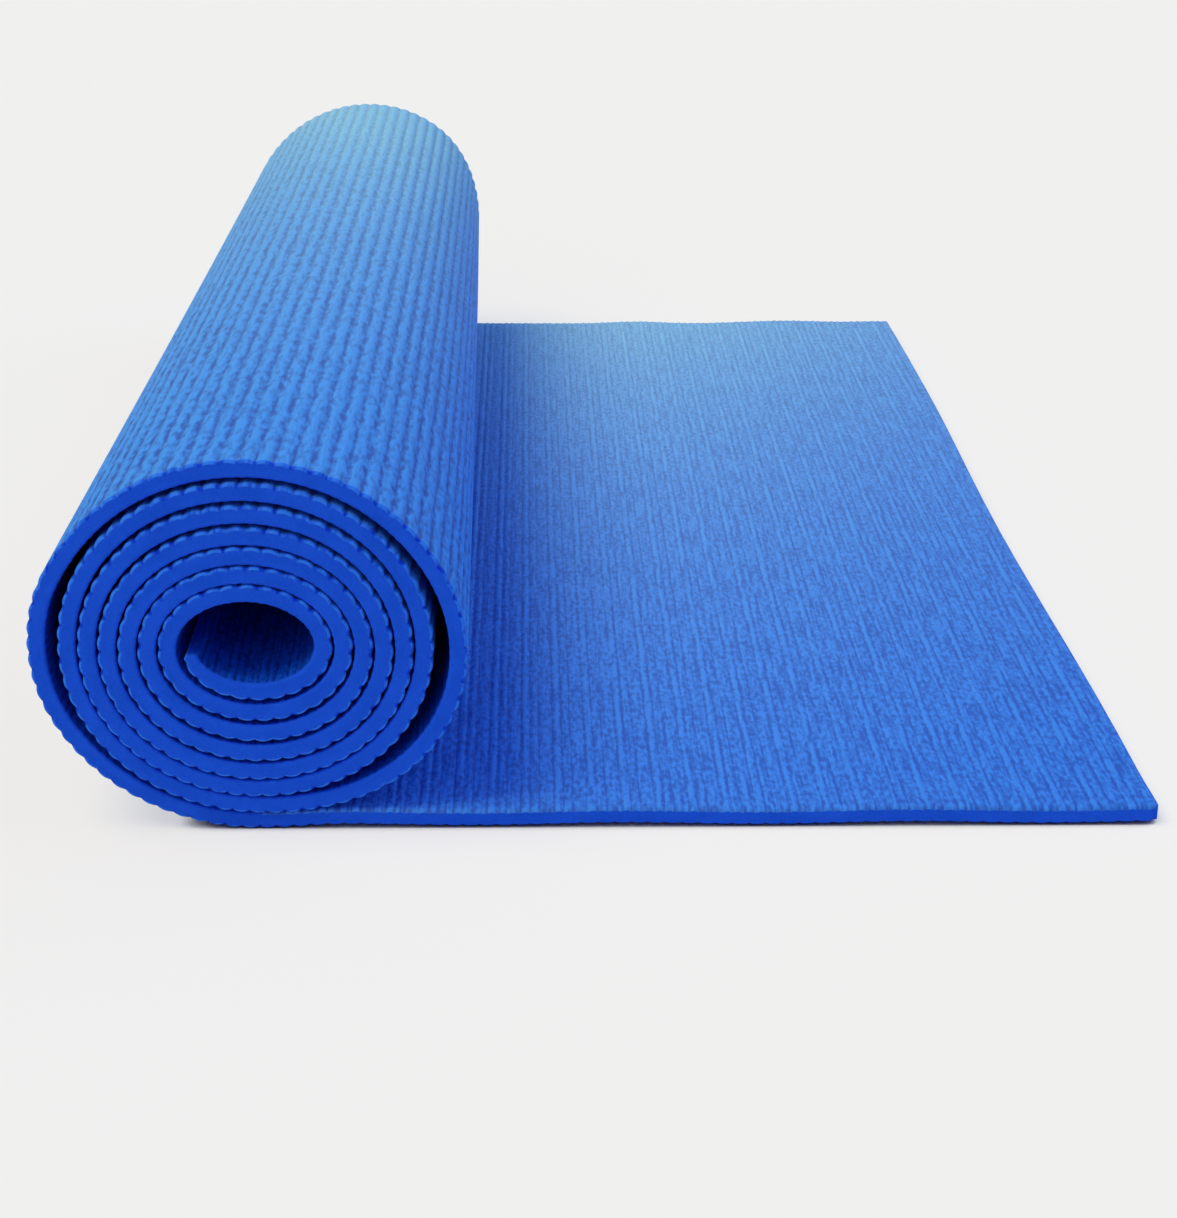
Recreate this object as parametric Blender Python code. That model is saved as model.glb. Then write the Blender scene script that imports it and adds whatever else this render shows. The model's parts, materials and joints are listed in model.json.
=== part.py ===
"""A ribbed foam yoga mat, partly unrolled: a wound roll with a flat stretch beside it.

The mat is one long laminate of three plies: a foam ply on top, a thin woven scrim in the
middle and a foam ply with coarse crosswise ribs below. The roll is that laminate wound a
little over seven turns round an open core, with its outer turn lying loose. The flat
stretch is cut into strips that hinge on each other, so that it can be wound up round the
roll. Metres, +Z up, +X towards the free end, +Y along the roll, away from its near end.
"""

import math

import bpy
import numpy as np
from mathutils import Vector

# Sheet, from the top ply down. The bottom ply is measured over its rib crests.
MAT_WIDTH = 0.610
TOP_FOAM_THICKNESS = 0.0018
SCRIM_THICKNESS = 0.0004
BOTTOM_FOAM_THICKNESS = 0.0030
PLY_GAP = 0.0003

# Ribs across the underside
RIB_PITCH = 0.005
RIB_HEIGHT = 0.0008
RIB_CREST_SHARE = 0.5

# Roll: the clear core, the gaps between turns, and how loosely the sheet lies
CORE_WIDTH = 0.042
CORE_HEIGHT = 0.027
TURN_GAP_AT_SIDES = 0.00035
TURN_GAP_ABOVE_AND_BELOW = 0.0007
OUTER_TURN_SLACK = 0.0028
SAG_TOWARDS_FLAT_SIDE = 0.002
WHOLE_TURNS = 7
TIP_ANGLE = math.radians(75)
STEPS_PER_TURN = 60

# Flat stretch: the sheet from the roll's lowest line to the first hinge, then the strips
TAIL_LENGTH = 0.016
STRIP_LENGTH = 0.030
STRIP_COUNT = 9
HINGE_GAP = 0.0003

# Worked out from the sizes above
MAT_THICKNESS = TOP_FOAM_THICKNESS + SCRIM_THICKNESS + BOTTOM_FOAM_THICKNESS + 2 * PLY_GAP
PITCH_AT_SIDES = MAT_THICKNESS + TURN_GAP_AT_SIDES
PITCH_ABOVE_AND_BELOW = MAT_THICKNESS + TURN_GAP_ABOVE_AND_BELOW
RIBS_PER_STRIP = max(1, round(STRIP_LENGTH / RIB_PITCH))
FITTED_RIB_PITCH = STRIP_LENGTH / RIBS_PER_STRIP
FULL_TURN = 2 * math.pi
LAST_ANGLE = WHOLE_TURNS * FULL_TURN + TIP_ANGLE
TABLE_STEPS_PER_TURN = 360
SAG_PEAK_POWER = 1.6

FOAM_BLUE = (0.045, 0.190, 0.720)
RIB_BLUE = (0.030, 0.130, 0.600)
SCRIM_BLUE = (0.200, 0.360, 0.780)

# Each ply: its name, the heights of its lower and upper face over the crests, its colour
PLIES = (
    ("bottom_foam", 0, BOTTOM_FOAM_THICKNESS, RIB_BLUE),
    ("scrim", BOTTOM_FOAM_THICKNESS + PLY_GAP,
     BOTTOM_FOAM_THICKNESS + PLY_GAP + SCRIM_THICKNESS, SCRIM_BLUE),
    ("top_foam", MAT_THICKNESS - TOP_FOAM_THICKNESS, MAT_THICKNESS, FOAM_BLUE),
)


def clear_scene():
    for item in list(bpy.data.objects):
        bpy.data.objects.remove(item, do_unlink=True)


def turns_wound_in(angle):
    """Turns that the sheet has moved inwards; it leaves the floor without a kink."""
    turns = angle / FULL_TURN
    if turns >= 1:
        return turns
    return 2 * turns ** 2 - turns ** 3


def flat_side_bulge(angle):
    """0 to 1 on the side towards the flat stretch, with its peak below the middle."""
    share = (angle % FULL_TURN) / math.pi - 1
    if share <= 0:
        return 0
    return math.sin(math.pi * share ** SAG_PEAK_POWER) ** 2


def looseness(angle):
    """How far the sheet lies outside the tight spiral."""
    sag_share = 1 - turns_wound_in(angle) / WHOLE_TURNS
    loose = SAG_TOWARDS_FLAT_SIDE * max(0, sag_share) * flat_side_bulge(angle)
    if angle < math.pi:
        loose += OUTER_TURN_SLACK * math.sin(angle) ** 2
    elif angle < FULL_TURN:
        loose += OUTER_TURN_SLACK * flat_side_bulge(angle)
    return loose


def half_width(angle):
    core = (CORE_WIDTH + MAT_THICKNESS) / 2
    turns_outside = WHOLE_TURNS - 1 / 2 - turns_wound_in(angle)
    return core + PITCH_AT_SIDES * turns_outside + looseness(angle)


def half_height(angle):
    core = (CORE_HEIGHT + MAT_THICKNESS) / 2
    turns_outside = WHOLE_TURNS - 1 / 4 - turns_wound_in(angle)
    return core + PITCH_ABOVE_AND_BELOW * turns_outside + looseness(angle)


ROLL_AXIS_HEIGHT = half_height(0) + MAT_THICKNESS / 2


def roll_middle(angle):
    """The sheet's middle at an angle wound from the floor, up the side away from the flat."""
    across = -half_width(angle) * math.sin(angle)
    up = ROLL_AXIS_HEIGHT - half_height(angle) * math.cos(angle)
    return Vector((across, up))


def angle_table():
    """Angles along the roll and the length of sheet from the floor line to each."""
    count = math.ceil(LAST_ANGLE / FULL_TURN * TABLE_STEPS_PER_TURN)
    angles = np.linspace(0, LAST_ANGLE, count)
    middles = np.array([roll_middle(angle) for angle in angles])
    steps = np.linalg.norm(np.diff(middles, axis=0), axis=1)
    return angles, np.concatenate(([0], np.cumsum(steps)))


ROLL_ANGLES, ROLL_LENGTHS = angle_table()
ROLL_SHEET_LENGTH = TAIL_LENGTH + float(ROLL_LENGTHS[-1])


def sheet_point(distance, height):
    """A point of the wound sheet: distance from the first hinge, height over the crests."""
    if distance <= TAIL_LENGTH:
        return Vector((TAIL_LENGTH - distance, height))
    angle = float(np.interp(distance - TAIL_LENGTH, ROLL_LENGTHS, ROLL_ANGLES))
    nudge = FULL_TURN / TABLE_STEPS_PER_TURN
    along = (roll_middle(angle + nudge) - roll_middle(angle - nudge)).normalized()
    inwards = Vector((along.y, -along.x))
    return roll_middle(angle) + inwards * (height - MAT_THICKNESS / 2)


def plain_face(height):
    """A smooth face of a wound ply, from the first hinge to the inner tip."""
    step = FULL_TURN / STEPS_PER_TURN
    angles = np.arange(0, LAST_ANGLE - step / 2, step)
    lengths = np.interp(angles, ROLL_ANGLES, ROLL_LENGTHS)
    distances = [HINGE_GAP / 2] + [TAIL_LENGTH + float(length) for length in lengths]
    return [sheet_point(distance, height) for distance in distances + [ROLL_SHEET_LENGTH]]


def rib_corners(rib_count):
    """Distance and height of each corner along a row of ribs, starting in a valley."""
    corners = [(0, RIB_HEIGHT)]
    flank = FITTED_RIB_PITCH * (1 - RIB_CREST_SHARE) / 2
    for rib in range(rib_count):
        start = rib * FITTED_RIB_PITCH
        end = start + FITTED_RIB_PITCH
        corners += [(start + flank, 0), (end - flank, 0), (end, RIB_HEIGHT)]
    return corners


def ribbed_face():
    """The ribbed face of the wound bottom ply, from the first hinge to the inner tip."""
    rib_count = math.floor(ROLL_SHEET_LENGTH / FITTED_RIB_PITCH)
    corners = rib_corners(rib_count)
    corners[0] = (HINGE_GAP / 2, RIB_HEIGHT)
    face = [sheet_point(distance, height) for distance, height in corners]
    if ROLL_SHEET_LENGTH - corners[-1][0] > HINGE_GAP:
        face.append(sheet_point(ROLL_SHEET_LENGTH, RIB_HEIGHT))
    return face


def wound_outline(lower, upper):
    below = ribbed_face() if lower == 0 else plain_face(lower)
    return below + plain_face(upper)[::-1]


def strip_outline(lower, upper):
    """A ply of a flat strip, measured from its hinge line on the mat's top face."""
    start = HINGE_GAP / 2
    end = STRIP_LENGTH - HINGE_GAP / 2
    below = [(start, lower), (end, lower)]
    if lower == 0:
        corners = rib_corners(RIBS_PER_STRIP)
        below = [(min(max(distance, start), end), height) for distance, height in corners]
    outline = below + [(end, upper), (start, upper)]
    return [Vector((distance, height - MAT_THICKNESS)) for distance, height in outline]


def foam_material(name, colour):
    material = bpy.data.materials.new(name)
    material.use_nodes = True
    shader = material.node_tree.nodes["Principled BSDF"]
    shader.inputs["Base Color"].default_value = (*colour, 1)
    shader.inputs["Roughness"].default_value = 0.6
    shader.inputs["Metallic"].default_value = 0
    material.diffuse_color = (*colour, 1)
    return material


def add_ply(name, outline, colour, parent, collection):
    """One ply: its side outline as a filled flat curve, extruded over the mat's width."""
    curve = bpy.data.curves.new(name, "CURVE")
    curve.dimensions = "2D"
    curve.fill_mode = "BOTH"
    curve.extrude = MAT_WIDTH / 2
    spline = curve.splines.new("POLY")
    spline.points.add(len(outline) - 1)
    for point, corner in zip(spline.points, outline):
        point.co = (corner.x, corner.y, 0, 1)
    spline.use_cyclic_u = True
    curve.materials.append(foam_material(name, colour))
    ply = bpy.data.objects.new(name, curve)
    ply.rotation_euler.x = math.radians(90)
    ply.parent = parent
    collection.objects.link(ply)
    return ply


def add_empty(name, location, parent, collection):
    empty = bpy.data.objects.new(name, None)
    empty.empty_display_size = STRIP_LENGTH
    empty.location = location
    empty.parent = parent
    collection.objects.link(empty)
    return empty


def add_roll(collection):
    """The wound plies, with the middle of the whole mat's length at x = 0."""
    far_side = min(point.x for point in ribbed_face())
    free_end = TAIL_LENGTH + STRIP_COUNT * STRIP_LENGTH
    axis_x = -(far_side + free_end - HINGE_GAP / 2) / 2
    roll = add_empty("roll_floor_line", (axis_x, 0, 0), None, collection)
    for ply_name, lower, upper, colour in PLIES:
        add_ply(f"roll_{ply_name}", wound_outline(lower, upper), colour, roll, collection)
    return roll


def add_strips(roll, collection):
    """The flat strips, each on an empty at its hinge line and carried by the one before."""
    carrier = roll
    place = (TAIL_LENGTH, 0, MAT_THICKNESS)
    for number in range(1, STRIP_COUNT + 1):
        carrier = add_empty(f"strip_{number}_hinge", place, carrier, collection)
        for ply_name, lower, upper, colour in PLIES:
            outline = strip_outline(lower, upper)
            add_ply(f"strip_{number}_{ply_name}", outline, colour, carrier, collection)
        place = (STRIP_LENGTH, 0, 0)


def main():
    clear_scene()
    collection = bpy.data.collections.new("yoga_mat")
    bpy.context.scene.collection.children.link(collection)
    roll = add_roll(collection)
    add_strips(roll, collection)
    sheet_length = ROLL_SHEET_LENGTH + STRIP_COUNT * STRIP_LENGTH
    print(f"mat thickness {MAT_THICKNESS * 1000:.2f} mm, length {sheet_length:.3f} m")


main()
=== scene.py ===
# %% [markdown]
# # A ribbed foam yoga mat, partly unrolled
#
# The mat is one long sheet of soft foam with coarse ribs across its underside. Its left part is
# wound into a roll, and its right part lies flat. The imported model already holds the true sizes,
# the joints and the solids that collide. This script makes what is seen: a fine mesh for each ply
# of the sheet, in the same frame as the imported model, and a finish for each surface.

import json
import math

import bpy
import numpy as np
from mathutils import Matrix, Vector


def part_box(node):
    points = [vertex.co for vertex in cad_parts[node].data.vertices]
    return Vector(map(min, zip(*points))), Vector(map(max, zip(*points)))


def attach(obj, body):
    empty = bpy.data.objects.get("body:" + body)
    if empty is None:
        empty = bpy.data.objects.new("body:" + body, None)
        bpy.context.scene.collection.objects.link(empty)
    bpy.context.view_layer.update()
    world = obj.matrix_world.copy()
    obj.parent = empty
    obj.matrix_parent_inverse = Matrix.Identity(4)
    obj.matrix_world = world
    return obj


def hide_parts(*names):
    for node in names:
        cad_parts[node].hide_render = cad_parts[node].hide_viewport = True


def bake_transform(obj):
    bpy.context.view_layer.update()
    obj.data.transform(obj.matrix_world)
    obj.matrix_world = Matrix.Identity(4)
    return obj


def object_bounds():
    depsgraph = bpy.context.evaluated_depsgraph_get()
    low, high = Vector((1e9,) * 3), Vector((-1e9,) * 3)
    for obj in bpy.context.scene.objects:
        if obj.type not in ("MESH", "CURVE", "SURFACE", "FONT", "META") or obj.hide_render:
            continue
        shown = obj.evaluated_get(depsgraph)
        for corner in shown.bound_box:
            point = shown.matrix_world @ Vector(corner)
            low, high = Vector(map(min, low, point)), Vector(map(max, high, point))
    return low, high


MM = 0.001

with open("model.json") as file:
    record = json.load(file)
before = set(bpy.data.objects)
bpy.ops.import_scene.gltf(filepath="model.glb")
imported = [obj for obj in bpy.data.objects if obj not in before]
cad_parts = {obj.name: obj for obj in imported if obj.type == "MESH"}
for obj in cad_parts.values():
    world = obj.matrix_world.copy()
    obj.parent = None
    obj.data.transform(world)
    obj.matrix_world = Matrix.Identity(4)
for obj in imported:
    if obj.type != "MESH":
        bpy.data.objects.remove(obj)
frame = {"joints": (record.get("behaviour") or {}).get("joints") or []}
CAD_LOW, CAD_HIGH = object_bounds()
print("packed model, in mm:", [round(side / MM, 1) for side in CAD_HIGH - CAD_LOW])

# %% [markdown]
# ## Where the sheet lies
#
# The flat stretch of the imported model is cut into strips, each hinged to the one before. Typed
# numbers could drift away from that model, so the places are read from it: the hinge lines, the
# free end, and the near and far cut edges. The roll touches the floor along one line, which lies
# one short tail before the first hinge.

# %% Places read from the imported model
TAIL_LENGTH = 16 * MM
HINGES = [Vector(joint["pos_m"]) for joint in frame["joints"]]
STRIP_LENGTH = HINGES[1].x - HINGES[0].x
FLOOR_LINE_X = HINGES[0].x - TAIL_LENGTH
FREE_END_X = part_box("strip_9_top_foam")[1].x
NEAR_Y = CAD_LOW.y
FAR_Y = CAD_HIGH.y
MAT_WIDTH = FAR_Y - NEAR_Y
MAT_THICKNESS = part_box("strip_9_top_foam")[1].z
print("hinges:", len(HINGES), " strip in mm:", round(STRIP_LENGTH / MM, 2))
print("mat in mm:", round(MAT_WIDTH / MM, 1), "wide and", round(MAT_THICKNESS / MM, 2), "thick")

# %% [markdown]
# ## The line that the sheet follows
#
# Seen from its end, the roll is a spiral of a little over seven turns round a flattened core. The
# sheet leaves the floor, climbs the side away from the flat stretch, goes over the top and winds
# inwards. The spiral could be drawn as a curve by hand, but a formula keeps the gaps between
# turns even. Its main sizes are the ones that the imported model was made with.

# %% The tight spiral
CORE_WIDTH = 42 * MM
CORE_HEIGHT = 27 * MM
TURN_GAP_AT_SIDES = 0.35 * MM
TURN_GAP_ABOVE_AND_BELOW = 0.7 * MM
WHOLE_TURNS = 7
TIP_ANGLE = math.radians(78)
FULL_TURN = 2 * math.pi
HALF_TURN = math.pi
LAST_ANGLE = WHOLE_TURNS * FULL_TURN + TIP_ANGLE
STEPS_PER_TURN = 360
ANGLES = np.linspace(0, LAST_ANGLE, WHOLE_TURNS * STEPS_PER_TURN)


def turns_wound_in(angle):
    """Turns that the sheet has moved inwards. It leaves the floor without a kink."""
    turns = angle / FULL_TURN
    return np.where(turns < 1, 2 * turns ** 2 - turns ** 3, turns)


print("turns from the floor line to the tip:", round(LAST_ANGLE / FULL_TURN, 2))

# %% [markdown]
# ## How the roll differs from the tight spiral
#
# The outer turn lies loose at the near end: it stands off on both sides, which leaves two dark
# gaps, and it lies flat at the upper left. At the far end it is wound tighter and a little taller.
# The turns inside sag under their own weight. A simulation that winds the sheet would leave gaps of
# its own, and these are to match the photograph. So a table gives how far the outer turn lies
# outside the tight spiral at some angles, and a smooth curve goes through them.

# %% Slack and sag
# Degrees wound from the floor line, and how far out the outer turn lies there, in mm, at the near
# end and at the far end
LOOSENESS = (
    (0, 0, 0), (30, 0.5, 0), (55, 1.5, -0.1), (75, 2.5, -0.3), (90, 2.5, -0.5),
    (103, 2.0, -0.8), (117, 0.6, -1.1), (145, -0.6, -1.0), (180, -0.9, 0.6), (205, -0.3, 2.1),
    (225, 0.5, 2.6), (240, 1.5, 1.8), (255, 2.8, 0.7), (270, 3.9, 0), (285, 4.6, 0),
    (300, 4.5, 0), (315, 3.7, 0), (330, 2.3, 0), (345, 0.8, 0), (360, 0, 0),
)
LOOSE_AT_DEGREES, LOOSE_AT_NEAR_END, LOOSE_AT_FAR_END = zip(*LOOSENESS)
FAR_HEIGHT_GAIN = 0.02
FAR_LEAN = 1.9 * MM
INNER_TURN_BULGE = 0.4 * MM
BULGE_PEAK_POWER = 1.6
INNER_TURN_SAG = 1.6 * MM
SAG_PROFILE_POWER = 1.4
print("outer turn, in mm: up to", max(LOOSE_AT_NEAR_END), "out at the near end and",
      max(LOOSE_AT_FAR_END), "at the far end")


def smooth(share):
    """Goes from 0 to 1 with no slope at either end."""
    share = np.clip(share, 0, 1)
    return share * share * (3 - 2 * share)


def smooth_curve(where, places, values):
    """A curve through the values at the places, with the slope between each point's neighbours."""
    places, values = np.radians(places), np.array(values) * MM
    slopes = np.gradient(values, places)
    left = np.clip(np.searchsorted(places, where, side="right") - 1, 0, len(places) - 2)
    width = places[left + 1] - places[left]
    share = (where - places[left]) / width
    blend = smooth(share)
    bends = slopes[left] * (1 - share) - slopes[left + 1] * share
    between = values[left] * (1 - blend) + values[left + 1] * blend
    return between + bends * width * share * (1 - share)


def outer_looseness(angle, row_share):
    """How far the outer turn lies outside the tight spiral."""
    outer = np.minimum(angle, FULL_TURN)
    near = smooth_curve(outer, LOOSE_AT_DEGREES, LOOSE_AT_NEAR_END)
    far = smooth_curve(outer, LOOSE_AT_DEGREES, LOOSE_AT_FAR_END)
    return near * (1 - row_share) + far * row_share


def inner_bulge(angle):
    """The turns inside bulge a little towards the flat stretch, below the middle."""
    side_share = np.maximum(0, (angle % FULL_TURN) / HALF_TURN - 1)
    inside = np.maximum(0, 1 - turns_wound_in(angle) / WHOLE_TURNS)
    return INNER_TURN_BULGE * inside * np.sin(math.pi * side_share ** BULGE_PEAK_POWER) ** 2


def sag(angle):
    """How far the turns between the outer one and the core hang below the tight spiral."""
    place_between = turns_wound_in(angle) / WHOLE_TURNS
    return INNER_TURN_SAG * np.maximum(0, 1 - np.abs(2 * place_between - 1) ** SAG_PROFILE_POWER)


# %% One spiral line for each row
def spiral(row_share):
    """The middle line of the sheet at ANGLES, and its length up to each, in one row.

    The half turn and the quarter turn leave the core its full width and height.
    """
    loose = outer_looseness(ANGLES, row_share) + inner_bulge(ANGLES)
    turns_outside = WHOLE_TURNS - turns_wound_in(ANGLES)
    half_width = (CORE_WIDTH + MAT_THICKNESS) / 2 + loose
    half_width += (MAT_THICKNESS + TURN_GAP_AT_SIDES * (1 - row_share)) * (turns_outside - 1 / 2)
    half_height = (CORE_HEIGHT + MAT_THICKNESS) / 2 + loose
    half_height += (MAT_THICKNESS + TURN_GAP_ABOVE_AND_BELOW) * (turns_outside - 1 / 4)
    axis_height = half_height[0] + MAT_THICKNESS / 2
    across = FLOOR_LINE_X - half_width * np.sin(ANGLES)
    up = axis_height - half_height * np.cos(ANGLES) - sag(ANGLES)
    up += (up - MAT_THICKNESS / 2) * FAR_HEIGHT_GAIN * row_share
    across -= FAR_LEAN * row_share ** 2 * smooth(up / CORE_WIDTH)
    lengths = np.hypot(np.diff(across), np.diff(up)).cumsum()
    return across, up, np.concatenate(([0], lengths))


ROLLED_LENGTH = spiral(0)[2][-1]
FLAT_LENGTH = FREE_END_X - FLOOR_LINE_X
print("length in the roll:", round(ROLLED_LENGTH, 3), "m, and flat:", round(FLAT_LENGTH, 3), "m")

# %% [markdown]
# ## Ribs
#
# The foam is formed on a woven scrim, and the weave shows through it. One repeat of the weave is
# 10.7 mm long. Underneath it makes two coarse round ribs, which grip the floor. On the top face
# it makes three fine ribs, of which the middle one is wider and flatter. A bump in the material
# could show them from above, but here they are geometry, so that they also catch the light from
# the side and scallop the cut edges. A repeat starts in a valley of both.

# %% Rib heights along the sheet
WEAVE_REPEAT = 10.72 * MM
COARSE_RIB_WIDTH = WEAVE_REPEAT / 2
COARSE_RIB_HEIGHT = 0.65 * MM
FINE_GROOVES = np.array([0, 0.28, 0.72, 1])
FINE_RIB_HEIGHTS = np.array([0.55, 0.36, 0.46]) * MM
FINE_RIB_ROUNDNESS = 0.8


def coarse_rib_valley(along):
    """How far the ribbed face lies above the rib crests."""
    wave = np.abs(np.sin(math.pi * along / COARSE_RIB_WIDTH))
    return COARSE_RIB_HEIGHT * (1 - wave)


def fine_rib_valley(along):
    """How far the top face lies below the crest of the highest fine rib."""
    share = (along / WEAVE_REPEAT) % 1
    last_rib = len(FINE_RIB_HEIGHTS) - 1
    rib = np.clip(np.searchsorted(FINE_GROOVES, share, side="right") - 1, 0, last_rib)
    start = FINE_GROOVES[rib]
    width = FINE_GROOVES[rib + 1] - start
    crest = np.sin(math.pi * (share - start) / width) ** FINE_RIB_ROUNDNESS
    return FINE_RIB_HEIGHTS.max() - FINE_RIB_HEIGHTS[rib] * crest


print("coarse ribs in the whole sheet:", int((ROLLED_LENGTH + FLAT_LENGTH) / COARSE_RIB_WIDTH))

# %% [markdown]
# ## From the sheet to the room
#
# Every point of the mat is first named by its place in the flat sheet: how far along it lies from
# the floor line, counted into the roll, and how high over the rib crests. One function then puts
# it in the room. A flat mesh that is bent by modifiers would do for a plain roll, but a function
# can also give each edge its own form: the far edge lies in low waves, the near edge curls off
# the floor, the free end is cut a little askew, and the inner turns stand out of the roll.

# %% Edges of the flat stretch
# Waves of the far edge: each one's distance from the floor line, its width and its height
FAR_WAVES = (
    (147 * MM, 14 * MM, 1.1 * MM),
    (230 * MM, 25 * MM, 1.8 * MM),
    (284 * MM, 16 * MM, 1.4 * MM),
)
FAR_WAVE_SPREAD = 130 * MM
NEAR_EDGE_LIFT = 1.0 * MM
NEAR_EDGE_WAVE = 0.35 * MM
NEAR_WAVE_LENGTH = 92 * MM
NEAR_LIFT_SPREAD = 30 * MM
FREE_WAVE_WIDTH = 1.16 * MM
FREE_WAVE_LENGTH = 407 * MM
FREE_WAVE_CREST = 63 * MM
FREE_WAVE_SPREAD = 30 * MM
FREE_EDGE_START = 0.8 * MM
FREE_EDGE_SKEW = 1.4 * MM
CORNER_RADIUS = 3 * MM
TELESCOPED_BY = 3.2 * MM
TELESCOPED_TURNS = 2.2


def far_edge_lift(x, y):
    """The far edge lies in low waves that die out towards the near edge."""
    near_far_edge = smooth((y - (FAR_Y - FAR_WAVE_SPREAD)) / FAR_WAVE_SPREAD)
    lift = np.zeros_like(x)
    for crest, spread, height in FAR_WAVES:
        lift += height * np.exp(-((x - FLOOR_LINE_X - crest) / spread) ** 2 / 2)
    return lift * near_far_edge


def near_edge_lift(x, y):
    """The near edge curls off the floor by about a millimetre, and leaves a gap under it that the
    floor's painted contact shadow darkens.
    """
    close_to_edge = smooth(1 - (y - NEAR_Y) / NEAR_LIFT_SPREAD)
    past_roll = smooth((x - FLOOR_LINE_X) / STRIP_LENGTH)
    wave = np.sin(FULL_TURN * (x - FLOOR_LINE_X) / NEAR_WAVE_LENGTH)
    return close_to_edge * past_roll * (NEAR_EDGE_LIFT + NEAR_EDGE_WAVE * wave)


def free_edge_shift(x, y):
    """The free end was cut by hand, so it wanders by a millimetre or two."""
    close_to_end = smooth((x - (FREE_END_X - FREE_WAVE_SPREAD)) / FREE_WAVE_SPREAD)
    wave = np.cos(FULL_TURN * (y - NEAR_Y - FREE_WAVE_CREST) / FREE_WAVE_LENGTH)
    skew = FREE_EDGE_START + FREE_EDGE_SKEW * (y - NEAR_Y) / MAT_WIDTH
    return close_to_end * (FREE_WAVE_WIDTH * wave + skew)


def telescoping(angle):
    """How far the inner turns stand out at the near end, as they were not wound quite true."""
    return TELESCOPED_BY * (1 - np.exp(-turns_wound_in(angle) / TELESCOPED_TURNS))


def round_corner(x, y):
    """Draws the near and far corners of the free end in along a small arc."""
    to_end = np.clip(FREE_END_X - x, 0, CORNER_RADIUS)
    inset = CORNER_RADIUS - np.sqrt(CORNER_RADIUS ** 2 - (CORNER_RADIUS - to_end) ** 2)
    return np.clip(y, NEAR_Y + inset, FAR_Y - inset)


print("inner tip stands out, in mm:", round(float(telescoping(LAST_ANGLE)) / MM, 1))


# %% Put points of the sheet in the room
def place(along, height, y):
    """Room coordinates for a row of points of the sheet, at one distance y along the roll."""
    line_x, line_z, lengths = spiral((y - NEAR_Y) / MAT_WIDTH)
    angle = np.interp(along, lengths, ANGLES)
    step_x = np.gradient(line_x, ANGLES)
    step_z = np.gradient(line_z, ANGLES)
    step = np.hypot(step_x, step_z)
    lift = height - MAT_THICKNESS / 2
    rolled_x = np.interp(angle, ANGLES, line_x) + np.interp(angle, ANGLES, step_z / step) * lift
    rolled_z = np.interp(angle, ANGLES, line_z) - np.interp(angle, ANGLES, step_x / step) * lift
    flat_x = FLOOR_LINE_X - along
    flat_z = height + far_edge_lift(flat_x, y) + near_edge_lift(flat_x, y)
    x = np.where(along > 0, rolled_x, flat_x + free_edge_shift(flat_x, y))
    z = np.where(along > 0, rolled_z, flat_z)
    rounded_y = round_corner(flat_x, np.full_like(x, y))
    return np.stack([x, np.where(along > 0, y - telescoping(angle), rounded_y), z], axis=-1)


INNER_TIP = place(np.array([ROLLED_LENGTH]), MAT_THICKNESS / 2, NEAR_Y)[0]
print("inner tip at the near end, in mm:", [round(float(axis) / MM, 1) for axis in INNER_TIP])

# %% [markdown]
# ## A ply as a mesh
#
# Each ply is a closed skin: a lower and an upper face, which share their columns of points along
# the sheet and their rows across it, and a band of small faces round the cut edges. Extruding an
# outline would be shorter, but rows let the far end differ from the near end. The cut edges are
# softened by a small round, and more on the flat part, where the photograph shows a lit line along
# the top and a dark one along the bottom. Each point also keeps its place in the flat sheet, so
# that a finish stays where it is when the mat bends.

# %% Columns and rows of points
COLUMNS_PER_REPEAT = 16
COLUMN_STEP = WEAVE_REPEAT / COLUMNS_PER_REPEAT
LEAST_STEP_SHARE = 1 / 4
ROUND_IN_ROLL = 0.85 * MM
ROUND_ON_FLAT = 1.2 * MM
TIP_ROUND = 1.5 * MM
ROUND_SHARES = np.array([0, 0.08, 0.25, 0.55, 1])
NEAR_ROWS = NEAR_Y + ROUND_ON_FLAT * ROUND_SHARES
FAR_ROWS = FAR_Y - ROUND_ON_FLAT * ROUND_SHARES[::-1]
LIFTED_ROWS = NEAR_Y + np.array([4, 9, 15, 22, 30, 45]) * MM
ROLL_MIDDLE_ROWS = NEAR_Y + MAT_WIDTH * np.array([0.2, 0.4, 0.6, 0.8])
FLAT_MIDDLE_ROWS = NEAR_Y + MAT_WIDTH * np.linspace(0.1, 0.95, 16)
ROLL_ROWS = np.concatenate([NEAR_ROWS, ROLL_MIDDLE_ROWS, FAR_ROWS])
FLAT_ROWS = np.concatenate([NEAR_ROWS, LIFTED_ROWS, FLAT_MIDDLE_ROWS, FAR_ROWS])
SHEET_ATTRIBUTE = "place_in_sheet"
print("rows across the roll:", len(ROLL_ROWS), " across the flat part:", len(FLAT_ROWS))


def edge_radius(along):
    """The radius of the soft edge, which is small in the roll and grows along the flat part."""
    return ROUND_IN_ROLL + (ROUND_ON_FLAT - ROUND_IN_ROLL) * smooth(-along / STRIP_LENGTH)


def drawn_in_at(distance, radius):
    """How far a face is drawn in at a distance from a cut edge."""
    from_full = np.clip(1 - distance / radius, 0, 1)
    return radius * (1 - np.sqrt(1 - from_full ** 2))


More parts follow.
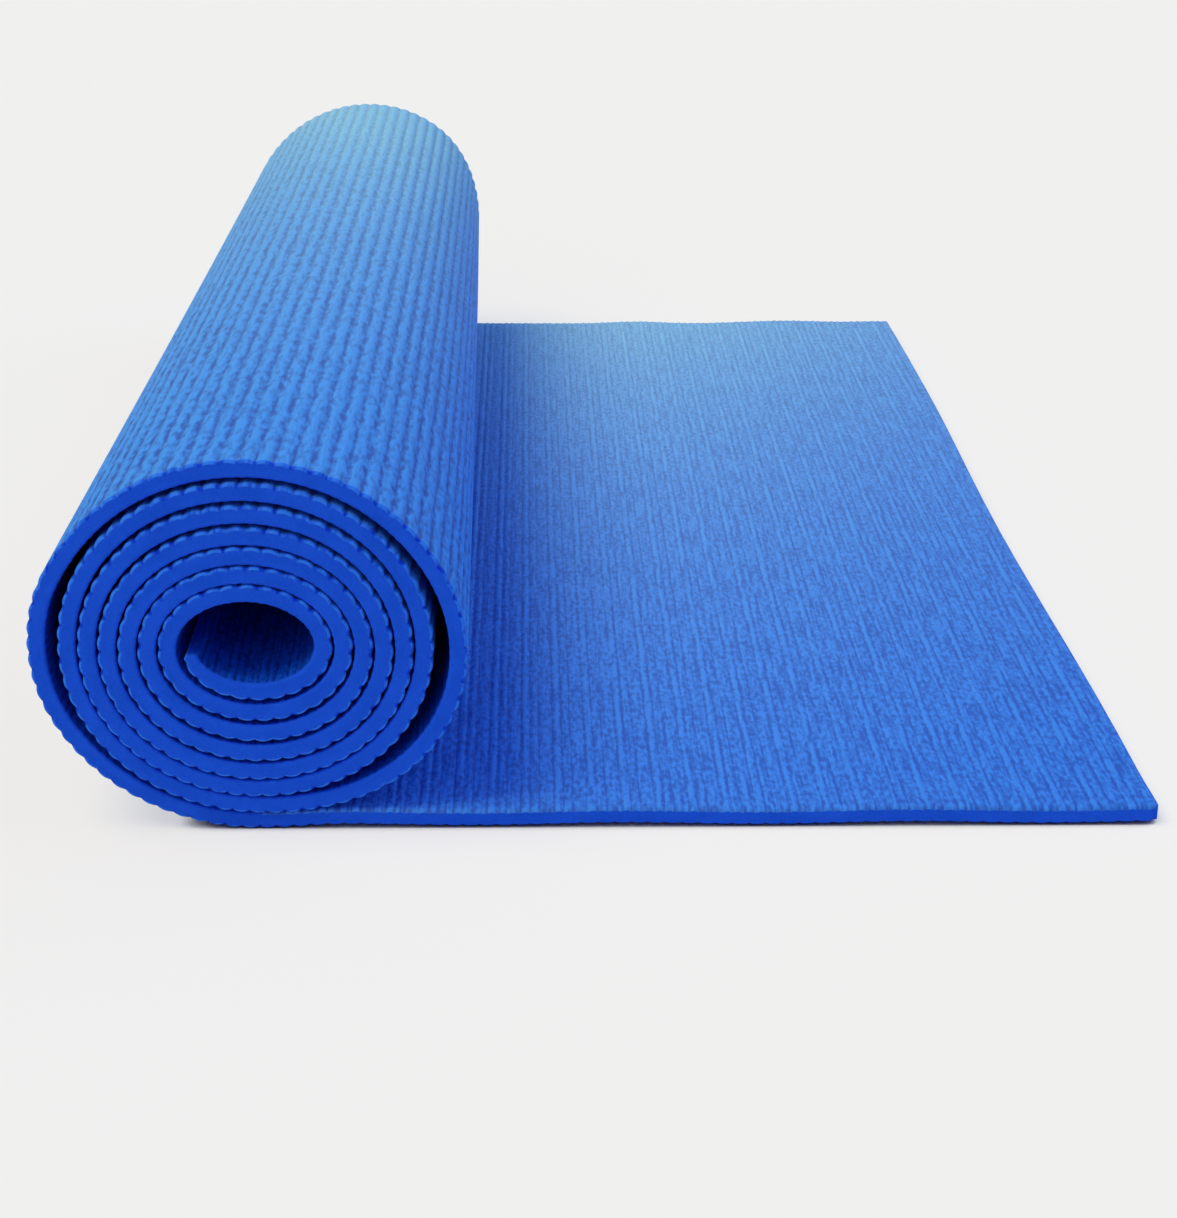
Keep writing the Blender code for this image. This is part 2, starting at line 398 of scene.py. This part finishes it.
def columns(start, end):
    """Distances along the sheet between two places, in step with the weave's repeats."""
    first = math.ceil(start / COLUMN_STEP + LEAST_STEP_SHARE)
    last = math.floor(end / COLUMN_STEP - LEAST_STEP_SHARE)
    inner = np.arange(first, last + 1) * COLUMN_STEP
    if start <= -FLAT_LENGTH:
        rounds = start + ROUND_ON_FLAT * ROUND_SHARES[1:]
        inner = np.concatenate([rounds, inner[inner > rounds[-1]]])
    if end >= ROLLED_LENGTH:
        rounds = end - TIP_ROUND * ROUND_SHARES[:0:-1]
        inner = np.concatenate([inner[inner < rounds[0]], rounds])
    return np.concatenate([[start], inner, [end]])


# %% Heights of each ply's two faces
SCRIM_LOW = 3.3 * MM
SCRIM_HIGH = 3.7 * MM
TIP_TAPER = 1.0 * MM
TIP_TAPER_LENGTH = 14 * MM
FLOOR_EDGE_SHARPNESS = 3
FINE_RELIEF_IN_ROLL = 0.4


def tip_taper(along):
    """The inner tip was pressed thin from below when the mat was first rolled up."""
    return TIP_TAPER * smooth(1 - (ROLLED_LENGTH - along) / TIP_TAPER_LENGTH)


def bottom_foam_faces(along, drawn_in):
    """In the roll the ribs run on over the round edge. The flat part has a sharper, plain edge."""
    valley = coarse_rib_valley(along)
    on_flat = smooth(-along / STRIP_LENGTH)
    plain_edge = np.maximum(valley, drawn_in / FLOOR_EDGE_SHARPNESS)
    lower = (valley + drawn_in) * (1 - on_flat) + plain_edge * on_flat
    return lower + tip_taper(along), np.full_like(along, SCRIM_LOW)


def scrim_faces(along, drawn_in):
    return np.full_like(along, SCRIM_LOW), np.full_like(along, SCRIM_HIGH)


def top_foam_faces(along, drawn_in):
    """The fine ribs are pressed flatter in the roll."""
    on_flat = smooth(-along / STRIP_LENGTH)
    relief_share = FINE_RELIEF_IN_ROLL + (1 - FINE_RELIEF_IN_ROLL) * on_flat
    upper = MAT_THICKNESS - fine_rib_valley(along) * relief_share - drawn_in
    return np.full_like(along, SCRIM_HIGH), upper


PLY_FACES = {
    "bottom_foam": bottom_foam_faces,
    "scrim": scrim_faces,
    "top_foam": top_foam_faces,
}
for ply, heights in PLY_FACES.items():
    lower, upper = heights(np.array([-FLAT_LENGTH / 2]), 0)
    print(f"flat {ply}, in mm: {float(lower[0]) / MM:.2f} to {float(upper[0]) / MM:.2f} high")


def ply_points(ply, along, rows):
    """Places in the room and in the flat sheet, by row, lower or upper face, and column."""
    room, sheet = [], []
    for y in rows:
        drawn_in = np.maximum.reduce([
            drawn_in_at(min(y - NEAR_Y, FAR_Y - y), edge_radius(along)),
            drawn_in_at(np.maximum(along + FLAT_LENGTH, 0), ROUND_ON_FLAT),
            drawn_in_at(np.maximum(ROLLED_LENGTH - along, 0), TIP_ROUND),
        ])
        for height in PLY_FACES[ply](along, drawn_in):
            room.append(place(along, height, y))
            sheet.append(np.stack([along, np.full_like(along, y), height], axis=-1))
    shape = (len(rows), 2, len(along), 3)
    return np.array(room).reshape(shape), np.array(sheet).reshape(shape)


# %% Faces between the points
def grid_faces(low, high, flipped):
    """Quads between neighbouring columns of two rows of point numbers."""
    quads = np.stack([low[:-1], low[1:], high[1:], high[:-1]], axis=-1)
    return quads[:, ::-1] if flipped else quads


LOWER, UPPER, CUT, RIM = range(4)


def ply_faces(row_count, column_count):
    """All quads of a ply, and the kind of each: a lower, upper or cut face, or a round rim."""
    round_rows = len(ROUND_SHARES) - 1
    numbers = np.arange(row_count * 2 * column_count).reshape(row_count, 2, column_count)
    lower, upper = numbers[:, 0], numbers[:, 1]
    faces, kinds = [], []

    def add(quads, kind):
        faces.append(quads)
        kinds.append(np.full(len(quads), kind))

    for row in range(row_count - 1):
        on_rim = row < round_rows or row >= row_count - 1 - round_rows
        add(grid_faces(lower[row], lower[row + 1], False), RIM if on_rim else LOWER)
        add(grid_faces(upper[row], upper[row + 1], True), RIM if on_rim else UPPER)
    add(grid_faces(lower[0], upper[0], True), CUT)
    add(grid_faces(lower[-1], upper[-1], False), CUT)
    add(grid_faces(lower[:, 0], upper[:, 0], False), CUT)
    add(grid_faces(lower[:, -1], upper[:, -1], True), CUT)
    return np.concatenate(faces), np.concatenate(kinds)


print("kinds of face:", {"lower": LOWER, "upper": UPPER, "cut": CUT, "rim": RIM})

# %% [markdown]
# ## Shading across the borders of the pieces
#
# Blender works out a point's normal from the faces of its own mesh, so a line would show where one
# piece ends and the next begins. Here the normals come from the sheet itself: each mesh is worked
# out with one more column on either side, and the slopes between the columns give the normals.

# %% Normals from the sheet
EXTRA_COLUMN_STEP = COLUMN_STEP / 2
print("extra column on either side, in mm:", round(EXTRA_COLUMN_STEP / MM, 2))


def face_normals(room):
    """A normal for each point of the lower and upper faces, from columns on both sides of it."""
    along_slope = room[:, :, 2:] - room[:, :, :-2]
    across_slope = np.gradient(room, axis=0)[:, :, 1:-1]
    normals = np.cross(along_slope, across_slope)
    normals /= np.linalg.norm(normals, axis=-1, keepdims=True)
    normals[:, 1] *= -1
    return normals


def set_normals(mesh, normals, faces, kinds):
    """Gives the smooth faces these normals; a zero leaves a cut face flat."""
    corners = normals.reshape(-1, 3)[faces]
    corners[kinds == CUT] = 0
    mesh.normals_split_custom_set(corners.reshape(-1, 3).tolist())


def make_ply(name, ply, along, rows, finishes):
    """One ply between two places along the sheet, with a finish for each kind of face."""
    before, after = along[0] - EXTRA_COLUMN_STEP, along[-1] + EXTRA_COLUMN_STEP
    with_neighbours = np.concatenate([[before], along, [after]])
    room, sheet_places = ply_points(ply, with_neighbours, rows)
    faces, kinds = ply_faces(len(rows), len(along))
    mesh = bpy.data.meshes.new(name)
    mesh.from_pydata(room[:, :, 1:-1].reshape(-1, 3).tolist(), [], faces.tolist())
    sheet = mesh.attributes.new(SHEET_ATTRIBUTE, "FLOAT_VECTOR", "POINT")
    sheet.data.foreach_set("vector", sheet_places[:, :, 1:-1].astype(np.float32).ravel())
    for finish in finishes:
        mesh.materials.append(finish)
    mesh.polygons.foreach_set("material_index", kinds.astype(np.int32))
    mesh.polygons.foreach_set("use_smooth", kinds != CUT)
    mesh.update()
    set_normals(mesh, face_normals(room), faces, kinds)
    piece = bpy.data.objects.new(name, mesh)
    bpy.context.scene.collection.objects.link(piece)
    return piece


# %% [markdown]
# ## Finishes
#
# A finish is a small graph of shader nodes. It could be drawn in Blender's editor or written as a
# list of nodes and links, but both are hard to read in a script. So a class wraps one output of a
# node, and sums and products of outputs add the Math nodes.

# %% Shader maths as Python expressions
class Output:
    """An output of a shader node. Arithmetic on it adds a Math node."""

    def __init__(self, tree, socket=None):
        self.tree = tree
        self.socket = socket

    def node(self, kind, inputs, output=0, **settings):
        """Adds a node with these settings and inputs, and gives one of its outputs."""
        made = self.tree.nodes.new(kind)
        for setting, value in settings.items():
            setattr(made, setting, value)
        for key, value in inputs.items():
            if isinstance(value, Output):
                self.tree.links.new(value.socket, made.inputs[key])
            else:
                made.inputs[key].default_value = value
        return Output(self.tree, made.outputs[output])

    def math(self, operation, first, second=0.0):
        return self.node("ShaderNodeMath", {0: first, 1: second}, operation=operation)

    def __add__(self, other):
        return self.math("ADD", self, other)

    def __radd__(self, other):
        return self.math("ADD", other, self)

    def __sub__(self, other):
        return self.math("SUBTRACT", self, other)

    def __rsub__(self, other):
        return self.math("SUBTRACT", other, self)

    def __mul__(self, other):
        return self.math("MULTIPLY", self, other)

    def __rmul__(self, other):
        return self.math("MULTIPLY", other, self)


def new_finish(name):
    """An empty material with a Principled shader, and the start of its expressions."""
    material = bpy.data.materials.new(name)
    material.use_nodes = True
    shader = material.node_tree.nodes["Principled BSDF"]
    return material, shader, Output(material.node_tree)


def connect(shader, socket, value):
    shader.id_data.links.new(value.socket, shader.inputs[socket])


def set_gloss(shader, roughness, gloss):
    shader.inputs["Roughness"].default_value = roughness
    shader.inputs["Specular IOR Level"].default_value = gloss


def add_bump(shader, start, height, distance, strength=1.0):
    inputs = {"Height": height, "Strength": strength, "Distance": distance}
    connect(shader, "Normal", start.node("ShaderNodeBump", inputs))


def mix_in(shader, start, share, other):
    """Shows a share of another shader on the surface, over the Principled shader."""
    principled = Output(start.tree, shader.outputs[0])
    mixed = start.node("ShaderNodeMixShader", {0: share, 1: principled, 2: other})
    surface = start.tree.nodes["Material Output"].inputs["Surface"]
    start.tree.links.new(mixed.socket, surface)


print("helpers:", ", ".join(helper.__name__ for helper in (connect, set_gloss, add_bump, mix_in)))

# %% [markdown]
# ## Patterns that stay in the sheet
#
# The marks in the foam run across the mat and bend with it. Blender's own coordinates belong to the
# room or to one piece, so a pattern in them would slide when the mat bends, and would break off
# where the next piece begins. So every pattern here reads the place in the flat sheet, which each
# point of the mesh keeps. Noise stretched more across the mat than along it makes streaks.

# %% Patterns laid out on the flat sheet
def sheet_place(start):
    """The point's place in the flat sheet: along, across and height, in metres."""
    return start.node("ShaderNodeAttribute", {}, output="Vector", attribute_name=SHEET_ATTRIBUTE)


def distance_along(start):
    return start.node("ShaderNodeSeparateXYZ", {0: sheet_place(start)}, output="X")


def stretched(start, along, across, height=0.0):
    """The place in the sheet, in units of these grain sizes. A size of 0 leaves that way out."""
    scale = [1 / size if size else 0 for size in (along, across, height)]
    inputs = {0: sheet_place(start), 1: scale}
    return start.node("ShaderNodeVectorMath", inputs, operation="MULTIPLY")


def noise(start, sizes, detail=2.0):
    """Soft noise of these grain sizes along, across and through the sheet."""
    inputs = {"Vector": stretched(start, *sizes), "Scale": 1.0, "Detail": detail}
    return start.node("ShaderNodeTexNoise", inputs)


def blend_colours(start, share, first, second):
    """The first colour at 0 and the second at 1. Sockets 6 and 7 are the Mix node's colours."""
    inputs = {0: share, 6: (*first, 1), 7: (*second, 1)}
    return start.node("ShaderNodeMix", inputs, output=2, data_type="RGBA")


def ramp(start, value, low, high):
    """0 at low, 1 at high, straight between them."""
    inputs = {"Value": value, "From Min": low, "From Max": high}
    return start.node("ShaderNodeMapRange", inputs)


print("every pattern reads the mesh attribute", SHEET_ATTRIBUTE)

# %% [markdown]
# ## Sheen
#
# The skin turns pale and milky where it is seen lengthwise along the weave's lines, as hair does.
# In the photograph this grows towards the far end, alike on the flat part and all round the roll,
# so it follows the lines and not the slope of the surface. The shader's own sheen would light the
# rims of the roll instead. All lines run along Y, and they still do when the mat bends. So Layer
# Weight, given that direction, tells how nearly the lines are seen end on.

# %% The pale sheen of the foam's skin
SHEEN_BLUE = (0.42, 0.80, 0.80, 1)
SHEEN_FALL = -1.6
SHEEN_MOST = 0.54
print("the sheen covers at most", SHEEN_MOST, "of the skin")


def add_sheen(shader, start, strength, lightness, contrast):
    """A pale matt shader where the lines are seen lengthwise, and stronger on light grain."""
    line_direction = start.node("ShaderNodeCombineXYZ", {"Y": 1.0})
    from_end_on = start.node("ShaderNodeLayerWeight", {"Normal": line_direction}, output="Facing")
    on_grain = (1 - contrast / 2 + lightness * contrast) * strength
    share = start.math("POWER", from_end_on, SHEEN_FALL) * on_grain
    capped = start.math("MINIMUM", share, SHEEN_MOST)
    sheen = start.node("ShaderNodeBsdfDiffuse", {"Color": SHEEN_BLUE})
    mix_in(shader, start, capped, sheen)


# %% [markdown]
# ## The top face
#
# This is the side that people stand on. Its fine ribs are in the mesh. What is left is a soft
# grain, with long streaks and a pale line, broken up by noise, on the highest rib of each repeat.
# The grooves between the fine ribs are painted darker, as painted shade. An image of foam would
# repeat and blur from close by, and stretched noise does neither. One sum of patterns gives both
# colour and bump, so that dark marks are also low ones. Inside the roll the skin is a darker copy
# without sheen, which paints the shade there.

# %% The finish of the top face
SKIN_ROUGHNESS = 0.6
FOAM_GLOSS = 0.05
TOP_BUMP = 0.6 * MM
TOP_SHEEN_CONTRAST = 0.3

# Sizes of the marks along and across the sheet, and their shares of the relief
GRAIN, GRAIN_WEIGHT = (1.5 * MM, 3.4 * MM), 0.45
STREAK, STREAK_WEIGHT = (1.3 * MM, 20 * MM), 0.40
PATCH, PATCH_WEIGHT = (45 * MM, 60 * MM), 0.05
LINE_WEIGHT = 0.12
GROOVE_SHADE_WEIGHT = 0.10
DARKEST_RELIEF, LIGHTEST_RELIEF = 0.35, 0.53

# The pale line and the grooves, in shares of a repeat, and where the line breaks off
LINE_AT = (FINE_GROOVES[0] + FINE_GROOVES[1]) / 2
LINE_FADES_FROM, LINE_FADES_TO = 0.03, 0.09
GROOVE_REACH = 0.05
LINE_BREAK_SIZE = (5 * MM, 16 * MM)
LINE_GONE_BELOW, WHOLE_ABOVE = 0.35, 0.6


def make_top_skin(name, dark, light, sheen_strength):
    material, shader, start = new_finish(name)
    repeat_share = start.math("FRACT", distance_along(start) * (1 / WEAVE_REPEAT))
    from_line = start.math("ABSOLUTE", repeat_share - LINE_AT)
    line = ramp(start, from_line, LINE_FADES_TO, LINE_FADES_FROM)
    broken_line = line * ramp(start, noise(start, LINE_BREAK_SIZE), LINE_GONE_BELOW, WHOLE_ABOVE)
    # The grooves are lowered in the bump and painted darker, as painted shade
    shaded_grooves = sum(
        ramp(start, start.math("ABSOLUTE", repeat_share - shaded_groove), GROOVE_REACH, 0.0)
        for shaded_groove in FINE_GROOVES
    )
    relief = noise(start, GRAIN, detail=1.0) * GRAIN_WEIGHT + noise(start, STREAK) * STREAK_WEIGHT
    relief = relief + noise(start, PATCH) * PATCH_WEIGHT
    relief = relief + broken_line * LINE_WEIGHT - shaded_grooves * GROOVE_SHADE_WEIGHT
    lightness = ramp(start, relief, DARKEST_RELIEF, LIGHTEST_RELIEF)
    connect(shader, "Base Color", blend_colours(start, lightness, dark, light))
    add_bump(shader, start, relief, TOP_BUMP)
    set_gloss(shader, SKIN_ROUGHNESS, FOAM_GLOSS)
    if sheen_strength:
        add_sheen(shader, start, sheen_strength, lightness, TOP_SHEEN_CONTRAST)
    return material


TOP_SKIN = make_top_skin(
    "foam_top_skin", dark=(0.003, 0.064, 0.52), light=(0.015, 0.182, 0.84), sheen_strength=0.0021
)
# A darker copy of the top skin without sheen, for the inside of the roll, as painted shade
TOP_SKIN_SHADED_INSIDE = make_top_skin(
    "foam_top_skin_painted_shade", dark=(0.002, 0.036, 0.36), light=(0.006, 0.090, 0.70), sheen_strength=0
)
print("top finishes:", TOP_SKIN.name, TOP_SKIN_SHADED_INSIDE.name)

# %% [markdown]
# ## The ribbed underside
#
# The underside is the outside of the roll. Yarns of the weave show on its ribs as short pale
# dashes and specks, and the grooves between the ribs are painted darker, as painted shade.
# Thousands of small dents in the mesh would be slow, so two stretched noises draw the marks, and a
# sine in step with the ribs paints the shade into the grooves. The rims of the turns get a copy of
# this finish without sheen and in a deeper blue, whose pale specks stand in for the lit rib crests
# as painted highlights.

# %% The finish of the ribbed underside
SPECK, SPECK_WEIGHT = (1.7 * MM, 5.5 * MM), 0.5
DASH, DASH_WEIGHT = (1.5 * MM, 13 * MM), 0.4
RIB_PATCH, RIB_PATCH_WEIGHT = (40 * MM, 60 * MM), 0.1
GROOVE_PAINTED_SHADE = 0.2
RIBS_DARKEST, RIBS_LIGHTEST = 0.28, 0.50
RIB_BUMP = 1.0 * MM
RIB_SHEEN_CONTRAST = 0.2


def make_ribbed_skin(name, dark, light, sheen_strength):
    material, shader, start = new_finish(name)
    rib_angle = distance_along(start) * (math.pi / COARSE_RIB_WIDTH)
    # The grooves are darkened in colour only, as painted shade
    shaded_groove = 1 - start.math("ABSOLUTE", start.math("SINE", rib_angle))
    relief = noise(start, SPECK, detail=1.0) * SPECK_WEIGHT + noise(start, DASH) * DASH_WEIGHT
    relief = relief + noise(start, RIB_PATCH) * RIB_PATCH_WEIGHT
    lightness = ramp(start, relief - shaded_groove * GROOVE_PAINTED_SHADE, RIBS_DARKEST, RIBS_LIGHTEST)
    connect(shader, "Base Color", blend_colours(start, lightness, dark, light))
    add_bump(shader, start, relief, RIB_BUMP)
    set_gloss(shader, SKIN_ROUGHNESS, FOAM_GLOSS)
    if sheen_strength:
        add_sheen(shader, start, sheen_strength, lightness, RIB_SHEEN_CONTRAST)
    return material


RIBBED_SKIN = make_ribbed_skin(
    "foam_ribbed_skin",
    dark=(0.002, 0.056, 0.45), light=(0.022, 0.240, 0.87), sheen_strength=0.00078
)
# A copy of the ribbed skin for the rims, without sheen; its pale specks are painted highlights of
# the lit rib crests
RIBBED_RIM_PAINTED_HIGHLIGHTS = make_ribbed_skin(
    "foam_ribbed_rim_painted_highlights", dark=(0.002, 0.040, 0.62), light=(0.028, 0.185, 0.88), sheen_strength=0
)
print("ribbed finishes:", RIBBED_SKIN.name, RIBBED_RIM_PAINTED_HIGHLIGHTS.name)

# %% [markdown]
# ## The cut edges
#
# A knife leaves the foam's small cells open, so the cut edges are plain, matt and a little deeper
# in colour than the skin. The cells are well under a millimetre, too small for a mesh, and have no
# direction. So the noise here has the same size all ways, and its bump is weak. The scrim's edge
# is made as blue as the foam, because the photograph doesn't show it apart.

# %% The finishes of the cut edges
CUT_ROUGHNESS = 0.8
CELL = (0.7 * MM, 0.7 * MM, 0.7 * MM)
CELL_DETAIL = 3.0
CUT_PATCH = (12 * MM, 12 * MM, 6 * MM)
CELL_WEIGHT = CUT_PATCH_WEIGHT = 0.5
CUT_DARKEST, CUT_LIGHTEST = 0.3, 0.7
CELL_BUMP, CELL_BUMP_STRENGTH = 0.2 * MM, 0.4


def make_cut_foam(name, dark, light):
    material, shader, start = new_finish(name)
    cells = noise(start, CELL, CELL_DETAIL)
    tone = cells * CELL_WEIGHT + noise(start, CUT_PATCH) * CUT_PATCH_WEIGHT
    lightness = ramp(start, tone, CUT_DARKEST, CUT_LIGHTEST)
    connect(shader, "Base Color", blend_colours(start, lightness, dark, light))
    add_bump(shader, start, cells, CELL_BUMP, CELL_BUMP_STRENGTH)
    set_gloss(shader, CUT_ROUGHNESS, FOAM_GLOSS)
    return material


CUT_FOAM = make_cut_foam("foam_cut_edge", dark=(0.007, 0.074, 0.66), light=(0.013, 0.100, 0.82))
CUT_SCRIM = make_cut_foam("scrim_cut_edge", dark=(0.005, 0.074, 0.64), light=(0.012, 0.106, 0.80))
print("cut finishes:", CUT_FOAM.name, CUT_SCRIM.name)

# %% Which finish each kind of face gets, in the order lower, upper, cut, rim
ROLL_FINISHES = {
    "bottom_foam": [RIBBED_SKIN, CUT_FOAM, CUT_FOAM, RIBBED_RIM_PAINTED_HIGHLIGHTS],
    "scrim": [CUT_SCRIM, CUT_SCRIM, CUT_SCRIM, CUT_SCRIM],
    "top_foam": [CUT_FOAM, TOP_SKIN_SHADED_INSIDE, CUT_FOAM, CUT_FOAM],
}
FLAT_FINISHES = {
    "bottom_foam": [RIBBED_SKIN, CUT_FOAM, CUT_FOAM, CUT_FOAM],
    "scrim": [CUT_SCRIM, CUT_SCRIM, CUT_SCRIM, CUT_SCRIM],
    "top_foam": [CUT_FOAM, TOP_SKIN, CUT_FOAM, TOP_SKIN],
}
print("finishes:", len(bpy.data.materials))

# %% [markdown]
# ## The wound part
#
# The three wound plies run from the inner tip to just past the floor line, where the first bend
# begins. They could go on into the flat stretch as one mesh, but a mesh can bend between two
# bodies at most. So they end there, and ride on the roll.

# %% Make the roll's plies
BEND_HALF = STRIP_LENGTH / 2
ROLL_END = FLOOR_LINE_X - (HINGES[0].x - BEND_HALF)


for ply in PLY_FACES:
    along = columns(ROLL_END, ROLLED_LENGTH)
    piece = make_ply(f"wound_{ply}", ply, along, ROLL_ROWS, ROLL_FINISHES[ply])
    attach(piece, "roll")
    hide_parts(f"roll_{ply}")
    ROLLED_LENGTH - ROLL_END
    print(piece.name, len(piece.data.polygons), "faces")

# %% [markdown]
# ## The flat stretch
#
# The real mat bends anywhere, and the imported model bends at nine hinges. A stiff strip between
# two hinges would show a kink at each. So each piece here runs from the middle of one strip to
# the middle of the next. The last piece goes on to the free end.

# %% Make the flat plies
for number, hinge in enumerate(HINGES, start=1):
    bend_start = hinge - Vector((BEND_HALF, 0, 0))
    bend_end = hinge + Vector((BEND_HALF, 0, 0))
    end_x = FREE_END_X if number == len(HINGES) else bend_end.x
    along = columns(FLOOR_LINE_X - end_x, FLOOR_LINE_X - bend_start.x)
    for ply in PLY_FACES:
        piece = make_ply(f"flat_{number}_{ply}", ply, along, FLAT_ROWS, FLAT_FINISHES[ply])
        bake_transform(piece)
        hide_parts(f"strip_{number}_{ply}")

# %% [markdown]
# ## Floor and light
#
# The photograph was taken on white, under soft light from above and from the left. The shade beside
# the roll is a deep blue, and the floor is neutral. So a warm lamp on the left is joined by a
# cooler one on the right and by a bluish sky. Together they make white, and blue is left where the
# warm lamp is cut off. A weaker lamp in front lights the end of the roll. Area lamps would look
# alike but fade across the floor, so all three are sun lamps, with wide discs for soft shadows. The
# sky is dark near the horizon, so that little light gets into the core.
#
# Where the background is seen, the floor glows a little, which keeps the wide shadows faint.
# Ambient occlusion finds where the mat closes the floor in. There the glow goes out and the floor
# is painted dark blue, a painted contact shadow, and that is the dark line under the edge in the
# photograph.

# %% Light and floor
BACKGROUND_BRIGHTNESS = 0.87
BACKGROUND_GLOW = (BACKGROUND_BRIGHTNESS,) * 3 + (1,)
FLOOR_SIZE = 12.0
FLOOR_DROP = 0.2 * MM
FLOOR_ROUGHNESS = 0.9
FLOOR_GLOW_SHARE = 0.65
FLOOR_COLOUR = (0.90, 0.90, 0.90)
# Painted contact shadow: the floor's colour where ambient occlusion finds the mat close above
PAINTED_SHADOW_COLOUR = (0.004, 0.02, 0.26)
CLOSED_IN_BELOW, OPEN_ABOVE = 0.3, 0.55
CONTACT_SHADOW_REACH = 6 * MM
CONTACT_SHADOW_SAMPLES = 6


def background_seen(start):
    """1 for the camera's own rays and those that gloss or glass sends on, and 0 for all others."""
    rays = ("Is Camera Ray", "Is Glossy Ray", "Is Transmission Ray")
    return sum(start.node("ShaderNodeLightPath", {}, output=ray) for ray in rays)


def make_floor():
    bpy.ops.mesh.primitive_plane_add(size=FLOOR_SIZE, location=(0, 0, -FLOOR_DROP))
    floor = bpy.context.active_object
    floor.name = "studio_floor"
    material, shader, start = new_finish("floor_paper")
    set_gloss(shader, FLOOR_ROUGHNESS, 0.0)
    clear_share = start.node(
        "ShaderNodeAmbientOcclusion", {"Distance": CONTACT_SHADOW_REACH},
        output="AO", samples=CONTACT_SHADOW_SAMPLES
    )
    outside_painted_shadow = ramp(start, clear_share, CLOSED_IN_BELOW, OPEN_ABOVE)
    connect(shader, "Base Color", blend_colours(start, outside_painted_shadow, PAINTED_SHADOW_COLOUR, FLOOR_COLOUR))
    glow = start.node("ShaderNodeEmission", {"Color": BACKGROUND_GLOW, "Strength": 1.0})
    mix_in(shader, start, background_seen(start) * outside_painted_shadow * FLOOR_GLOW_SHARE, glow)
    floor.data.materials.append(material)


make_floor()
print("floor:", FLOOR_SIZE, "m square")

# %% Sky
SKY_AT_HORIZON = 0.04
SKY_OVERHEAD = 0.34
SKY_BRIGHTENS_FROM, SKY_BRIGHTENS_TO = 0.25, 0.85
SKY_COLOUR = (0.55, 0.85, 1.60)
WHITE = (1, 1, 1)


def make_world():
    """The sky as the mat sees it, and the plain background as the camera sees it."""
    world = bpy.data.worlds.new("studio")
    world.use_nodes = True
    start = Output(world.node_tree)
    background = world.node_tree.nodes["Background"]
    seen = background_seen(start)
    direction = start.node("ShaderNodeTexCoord", {}, output="Generated")
    upwards = start.node("ShaderNodeSeparateXYZ", {0: direction}, output="Z")
    overhead = ramp(start, upwards, SKY_BRIGHTENS_FROM, SKY_BRIGHTENS_TO)
    sky = SKY_AT_HORIZON + (SKY_OVERHEAD - SKY_AT_HORIZON) * overhead
    strengths = {0: seen, 2: sky, 3: BACKGROUND_BRIGHTNESS}
    connect(background, "Strength", start.node("ShaderNodeMix", strengths, data_type="FLOAT"))
    connect(background, "Color", blend_colours(start, seen, SKY_COLOUR, WHITE))
    bpy.context.scene.world = world


make_world()
print("sky strength:", SKY_AT_HORIZON, "at the horizon,", SKY_OVERHEAD, "overhead")

# %% Lamps
# Name, colour, strength, the direction towards the lamp, and the width of its disc
LAMPS = (
    ("soft_light", (1.0, 0.84, 0.48), 2.52, Vector((-0.47, -0.14, 0.87)), math.radians(38)),
    ("front_light", (0.96, 0.90, 0.80), 0.50, Vector((-0.28, -0.78, 0.55)), math.radians(45)),
    ("fill_light", (0.35, 0.60, 1.0), 0.88, Vector((0.80, 0.25, 0.55)), math.radians(60)),
)


def add_soft_sun(name, colour, strength, direction, disc):
    lamp = bpy.data.lights.new(name, "SUN")
    lamp.color = colour
    lamp.energy = strength
    lamp.angle = disc
    holder = bpy.data.objects.new(name, lamp)
    holder.rotation_euler = direction.to_track_quat("Z", "Y").to_euler()
    bpy.context.scene.collection.objects.link(holder)


for lamp_settings in LAMPS:
    add_soft_sun(*lamp_settings)
print("lamps:", len(bpy.data.lights))

# %% [markdown]
# ## Camera
#
# A camera could be set by eye, but then the shapes would be bent to suit it. This one was fitted to
# the corners and outlines of the mat in the photograph, whose frame is 1177 by 1218 pixels, so its
# place, tilt and turn are those of the real camera as nearly as the edges tell.

# %% Camera
PHOTO_WIDTH = 1177
PHOTO_HEIGHT = 1218
FOCAL_LENGTH_IN_PIXELS = 2343
OPTICAL_CENTRE = (598.8, 606.7)
CAMERA_PLACE = Vector((-0.0235, -0.973, 0.3392))
TILT_DOWN = math.radians(21.533)
TURN_RIGHT = math.radians(1.875)
ROLL_LEFT = math.radians(0.609)
SENSOR_WIDTH = 36.0


def make_camera():
    data = bpy.data.cameras.new("photograph_view")
    data.sensor_width = SENSOR_WIDTH
    data.lens = FOCAL_LENGTH_IN_PIXELS / PHOTO_HEIGHT * SENSOR_WIDTH
    data.shift_x = (PHOTO_WIDTH / 2 - OPTICAL_CENTRE[0]) / PHOTO_HEIGHT
    data.shift_y = (OPTICAL_CENTRE[1] - PHOTO_HEIGHT / 2) / PHOTO_HEIGHT
    camera = bpy.data.objects.new("photograph_view", data)
    level = Matrix.Rotation(math.pi / 2 - TILT_DOWN, 4, "X")
    turn = Matrix.Rotation(-TURN_RIGHT, 4, "Z")
    tip = Matrix.Rotation(ROLL_LEFT, 4, "Z")
    camera.matrix_world = Matrix.Translation(CAMERA_PLACE) @ turn @ level @ tip
    bpy.context.scene.collection.objects.link(camera)
    bpy.context.scene.camera = camera
    print("lens in mm:", round(data.lens, 1))


make_camera()
# Blender's default view transform would grey the white floor and dull the blue
bpy.context.scene.view_settings.view_transform = "Standard"
